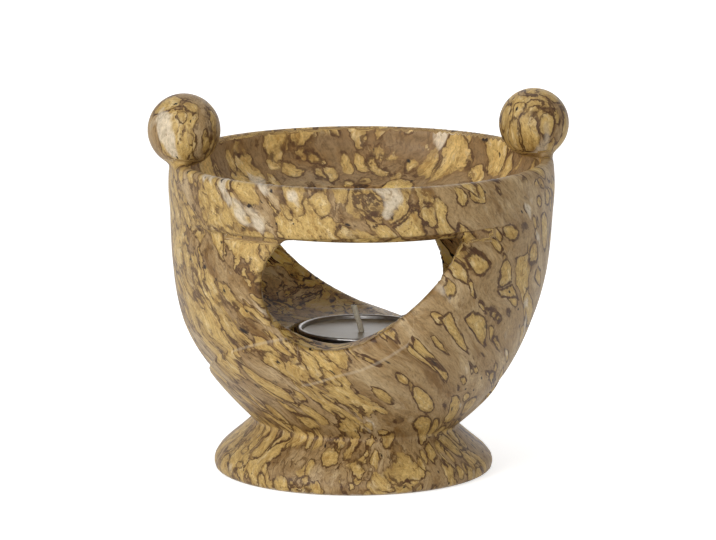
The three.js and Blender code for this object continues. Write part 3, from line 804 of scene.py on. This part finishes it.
# Wick: cotton yarns twisted round each other, crimped into the tab and set in the wax.
# It stands up out of the wax, and its free end leans to the left.
wick_low, wick_high = mm("wick")
wick_radius = wick_high[1]
wick_lean = -wick_low[0] - wick_radius
wick_inset = 0.3
yarn_count, yarn_turns, yarn_radius = 4, 5.0, 0.42
wick_path = [(0, 0, wick_low[2] + wick_inset), (0, 0, (wick_low[2] + wax_top) / 2), (0, 0, wax_top)]
wick_path += [(-wick_lean * 0.5, 0, (wax_top + wick_high[2]) / 2), (-wick_lean, 0, wick_high[2] - wick_inset)]


def cotton_material():
    """Undyed cotton, with its fibres along the yarn."""
    n = Nodes("cotton_yarn")
    coords = n.add("ShaderNodeTexCoord").outputs["Object"]
    fibre = n.grain(coords, (2500, 2500, 900), 4)
    n.colour_by(fibre, [(0.3, (0.78, 0.70, 0.54)), (0.7, (0.92, 0.88, 0.76))])
    n.shader.inputs["Roughness"].default_value = 0.9
    return n.material


def wick_tree(material):
    """Geometry nodes: copies of the path, each wound round it as one yarn of the wick."""
    tree = bpy.data.node_groups.new("twisted_wick", "GeometryNodeTree")
    face = tree.interface
    face.new_socket("Geometry", in_out="INPUT", socket_type="NodeSocketGeometry")
    sockets = {}
    for label, kind in (("Yarns", "NodeSocketInt"), ("Turns", "NodeSocketFloat"),
                        ("Wind", "NodeSocketFloat"), ("Yarn", "NodeSocketFloat")):
        sockets[label] = face.new_socket(label, in_out="INPUT", socket_type=kind).identifier
    face.new_socket("Geometry", in_out="OUTPUT", socket_type="NodeSocketGeometry")
    new, link = tree.nodes.new, tree.links.new
    given, result = new("NodeGroupInput"), new("NodeGroupOutput")

    def maths(operation, a, b):
        """One step of arithmetic on sockets or plain values."""
        node = new("ShaderNodeMath")
        node.operation = operation
        for socket, value in zip(node.inputs, (a, b)):
            if isinstance(value, bpy.types.NodeSocket):
                link(value, socket)
            else:
                socket.default_value = value
        return node.outputs[0]

    fine = new("GeometryNodeResampleCurve")
    fine.inputs["Count"].default_value = 90
    link(given.outputs["Geometry"], fine.inputs["Curve"])
    copies = new("GeometryNodeDuplicateElements")
    copies.domain = "SPLINE"
    link(fine.outputs[0], copies.inputs["Geometry"])
    link(given.outputs["Yarns"], copies.inputs["Amount"])
    along = new("GeometryNodeSplineParameter").outputs["Factor"]
    phase = maths("DIVIDE", copies.outputs["Duplicate Index"], given.outputs["Yarns"])
    wound = maths("MULTIPLY", along, given.outputs["Turns"])
    turn = maths("MULTIPLY", maths("ADD", phase, wound), 2 * math.pi)
    offset = new("ShaderNodeCombineXYZ")
    link(maths("MULTIPLY", maths("COSINE", turn, 0.0), given.outputs["Wind"]), offset.inputs["X"])
    link(maths("MULTIPLY", maths("SINE", turn, 0.0), given.outputs["Wind"]), offset.inputs["Y"])
    moved = new("GeometryNodeSetPosition")
    link(copies.outputs["Geometry"], moved.inputs["Geometry"])
    link(offset.outputs[0], moved.inputs["Offset"])
    section = new("GeometryNodeCurvePrimitiveCircle")
    section.inputs["Resolution"].default_value = 8
    link(given.outputs["Yarn"], section.inputs["Radius"])
    tube = new("GeometryNodeCurveToMesh")
    tube.inputs["Fill Caps"].default_value = True
    link(moved.outputs[0], tube.inputs["Curve"])
    link(section.outputs[0], tube.inputs["Profile Curve"])
    real = new("GeometryNodeRealizeInstances")
    link(tube.outputs[0], real.inputs[0])
    dressed = new("GeometryNodeSetMaterial")
    dressed.inputs["Material"].default_value = material
    link(real.outputs[0], dressed.inputs["Geometry"])
    link(dressed.outputs[0], result.inputs[0])
    return tree, sockets


path = bpy.data.curves.new("wick_path", "CURVE")
path.dimensions = "3D"
spline = path.splines.new("BEZIER")
spline.bezier_points.add(len(wick_path) - 1)
for knot, place in zip(spline.bezier_points, wick_path):
    knot.co = Vector(place) * MM
    knot.handle_left_type = knot.handle_right_type = "AUTO"
path_object = bpy.data.objects.new("wick_path", path)
bpy.context.scene.collection.objects.link(path_object)
wick_group, wick_inputs = wick_tree(cotton_material())
winding = path_object.modifiers.new("twist", "NODES")
winding.node_group = wick_group
winding[wick_inputs["Yarns"]] = yarn_count
winding[wick_inputs["Turns"]] = yarn_turns
winding[wick_inputs["Wind"]] = (wick_radius - yarn_radius) * MM
winding[wick_inputs["Yarn"]] = yarn_radius * MM
seen = path_object.evaluated_get(bpy.context.evaluated_depsgraph_get())
wick_mesh = bpy.data.meshes.new_from_object(seen)
path_object.modifiers.remove(winding)
bpy.data.objects.remove(path_object)
wick = bpy.data.objects.new("cotton_wick", wick_mesh)
bpy.context.scene.collection.objects.link(wick)
wick_mesh.polygons.foreach_set("use_smooth", [True] * len(wick_mesh.polygons))
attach(wick, "candle")
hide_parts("wick")


# Studio: a pale floor that keeps a soft shadow, white surroundings and five soft lamps.
# The camera stands a little to the left of the front and looks down on the holder.
floor_mesh = bpy.data.meshes.new("floor")
half = 4.0
floor_corners = [(-half, -half, 0), (half, -half, 0), (half, half, 0), (-half, half, 0)]
floor_mesh.from_pydata(floor_corners, [], [(0, 1, 2, 3)])
floor_object = bpy.data.objects.new("floor", floor_mesh)
bpy.context.scene.collection.objects.link(floor_object)


def seen_directly(nodes, links):
    """1 for rays from the camera and for those that metal or glass sends on."""
    path = nodes.new("ShaderNodeLightPath")
    total = path.outputs["Is Camera Ray"]
    for ray in ("Is Glossy Ray", "Is Transmission Ray"):
        most = nodes.new("ShaderNodeMath")
        most.operation = "MAXIMUM"
        links.new(total, most.inputs[0])
        links.new(path.outputs[ray], most.inputs[1])
        total = most.outputs[0]
    return total


def floor_material():
    """Matt and pale, and lifted towards white where it is seen directly."""
    n = Nodes("pale_floor")
    n.shader.inputs["Base Color"].default_value = (0.86, 0.86, 0.86, 1)
    n.shader.inputs["Roughness"].default_value = 0.9
    n.shader.inputs["Emission Color"].default_value = (1, 1, 1, 1)
    lift = n.math("MULTIPLY", seen_directly(n.tree.nodes, n.tree.links), 0.6)
    n.feed(n.shader.inputs["Emission Strength"], lift)
    return n.material


floor_mesh.materials.append(floor_material())

world = bpy.data.worlds.new("studio")
bpy.context.scene.world = world
world.use_nodes = True
nodes, links = world.node_tree.nodes, world.node_tree.links
ambient = nodes["Background"]
ambient.inputs["Color"].default_value = (1, 1, 1, 1)
ambient.inputs["Strength"].default_value = 0.36
white = nodes.new("ShaderNodeBackground")
white.inputs["Strength"].default_value = 1.0
either = nodes.new("ShaderNodeMixShader")
links.new(seen_directly(nodes, links), either.inputs[0])
links.new(ambient.outputs[0], either.inputs[1])
links.new(white.outputs[0], either.inputs[2])
links.new(either.outputs[0], nodes["World Output"].inputs["Surface"])


def lamp(name, place, size, watts):
    """A square soft lamp aimed at the middle of the object."""
    data = bpy.data.lights.new(name, "AREA")
    data.size = size
    data.energy = watts
    obj = bpy.data.objects.new(name, data)
    obj.location = place
    middle = Vector((0, 0, 0.06))
    obj.rotation_euler = (middle - obj.location).to_track_quat("-Z", "Y").to_euler()
    bpy.context.scene.collection.objects.link(obj)


lamp("key_left", (-1.0, -0.8, 0.7), 0.6, 10.3)
lamp("front", (0.1, -1.5, 0.3), 0.5, 3.6)
lamp("front_left", (-0.4, -1.4, 0.25), 0.5, 2.2)
lamp("back", (0.2, 1.2, 0.45), 1.0, 2.5)
lamp("top", (0.1, 0.1, 1.2), 0.8, 2.0)

camera_data = bpy.data.cameras.new("camera")
camera_data.sensor_width = 36.0
camera_data.lens = 294.0
camera = bpy.data.objects.new("camera", camera_data)
view_turn = math.radians(-8.0)
view_distance, view_height = 1.69, 0.383
aim = Vector((-0.00105, 0.0, 0.0589))
view_x = aim.x + view_distance * math.sin(view_turn)
camera.location = (view_x, -view_distance * math.cos(view_turn), view_height)
camera.rotation_euler = (aim - camera.location).to_track_quat("-Z", "Y").to_euler()
camera_data.clip_end = 20.0
bpy.context.scene.collection.objects.link(camera)
bpy.context.scene.camera = camera
bpy.context.scene.view_settings.view_transform = "Standard"
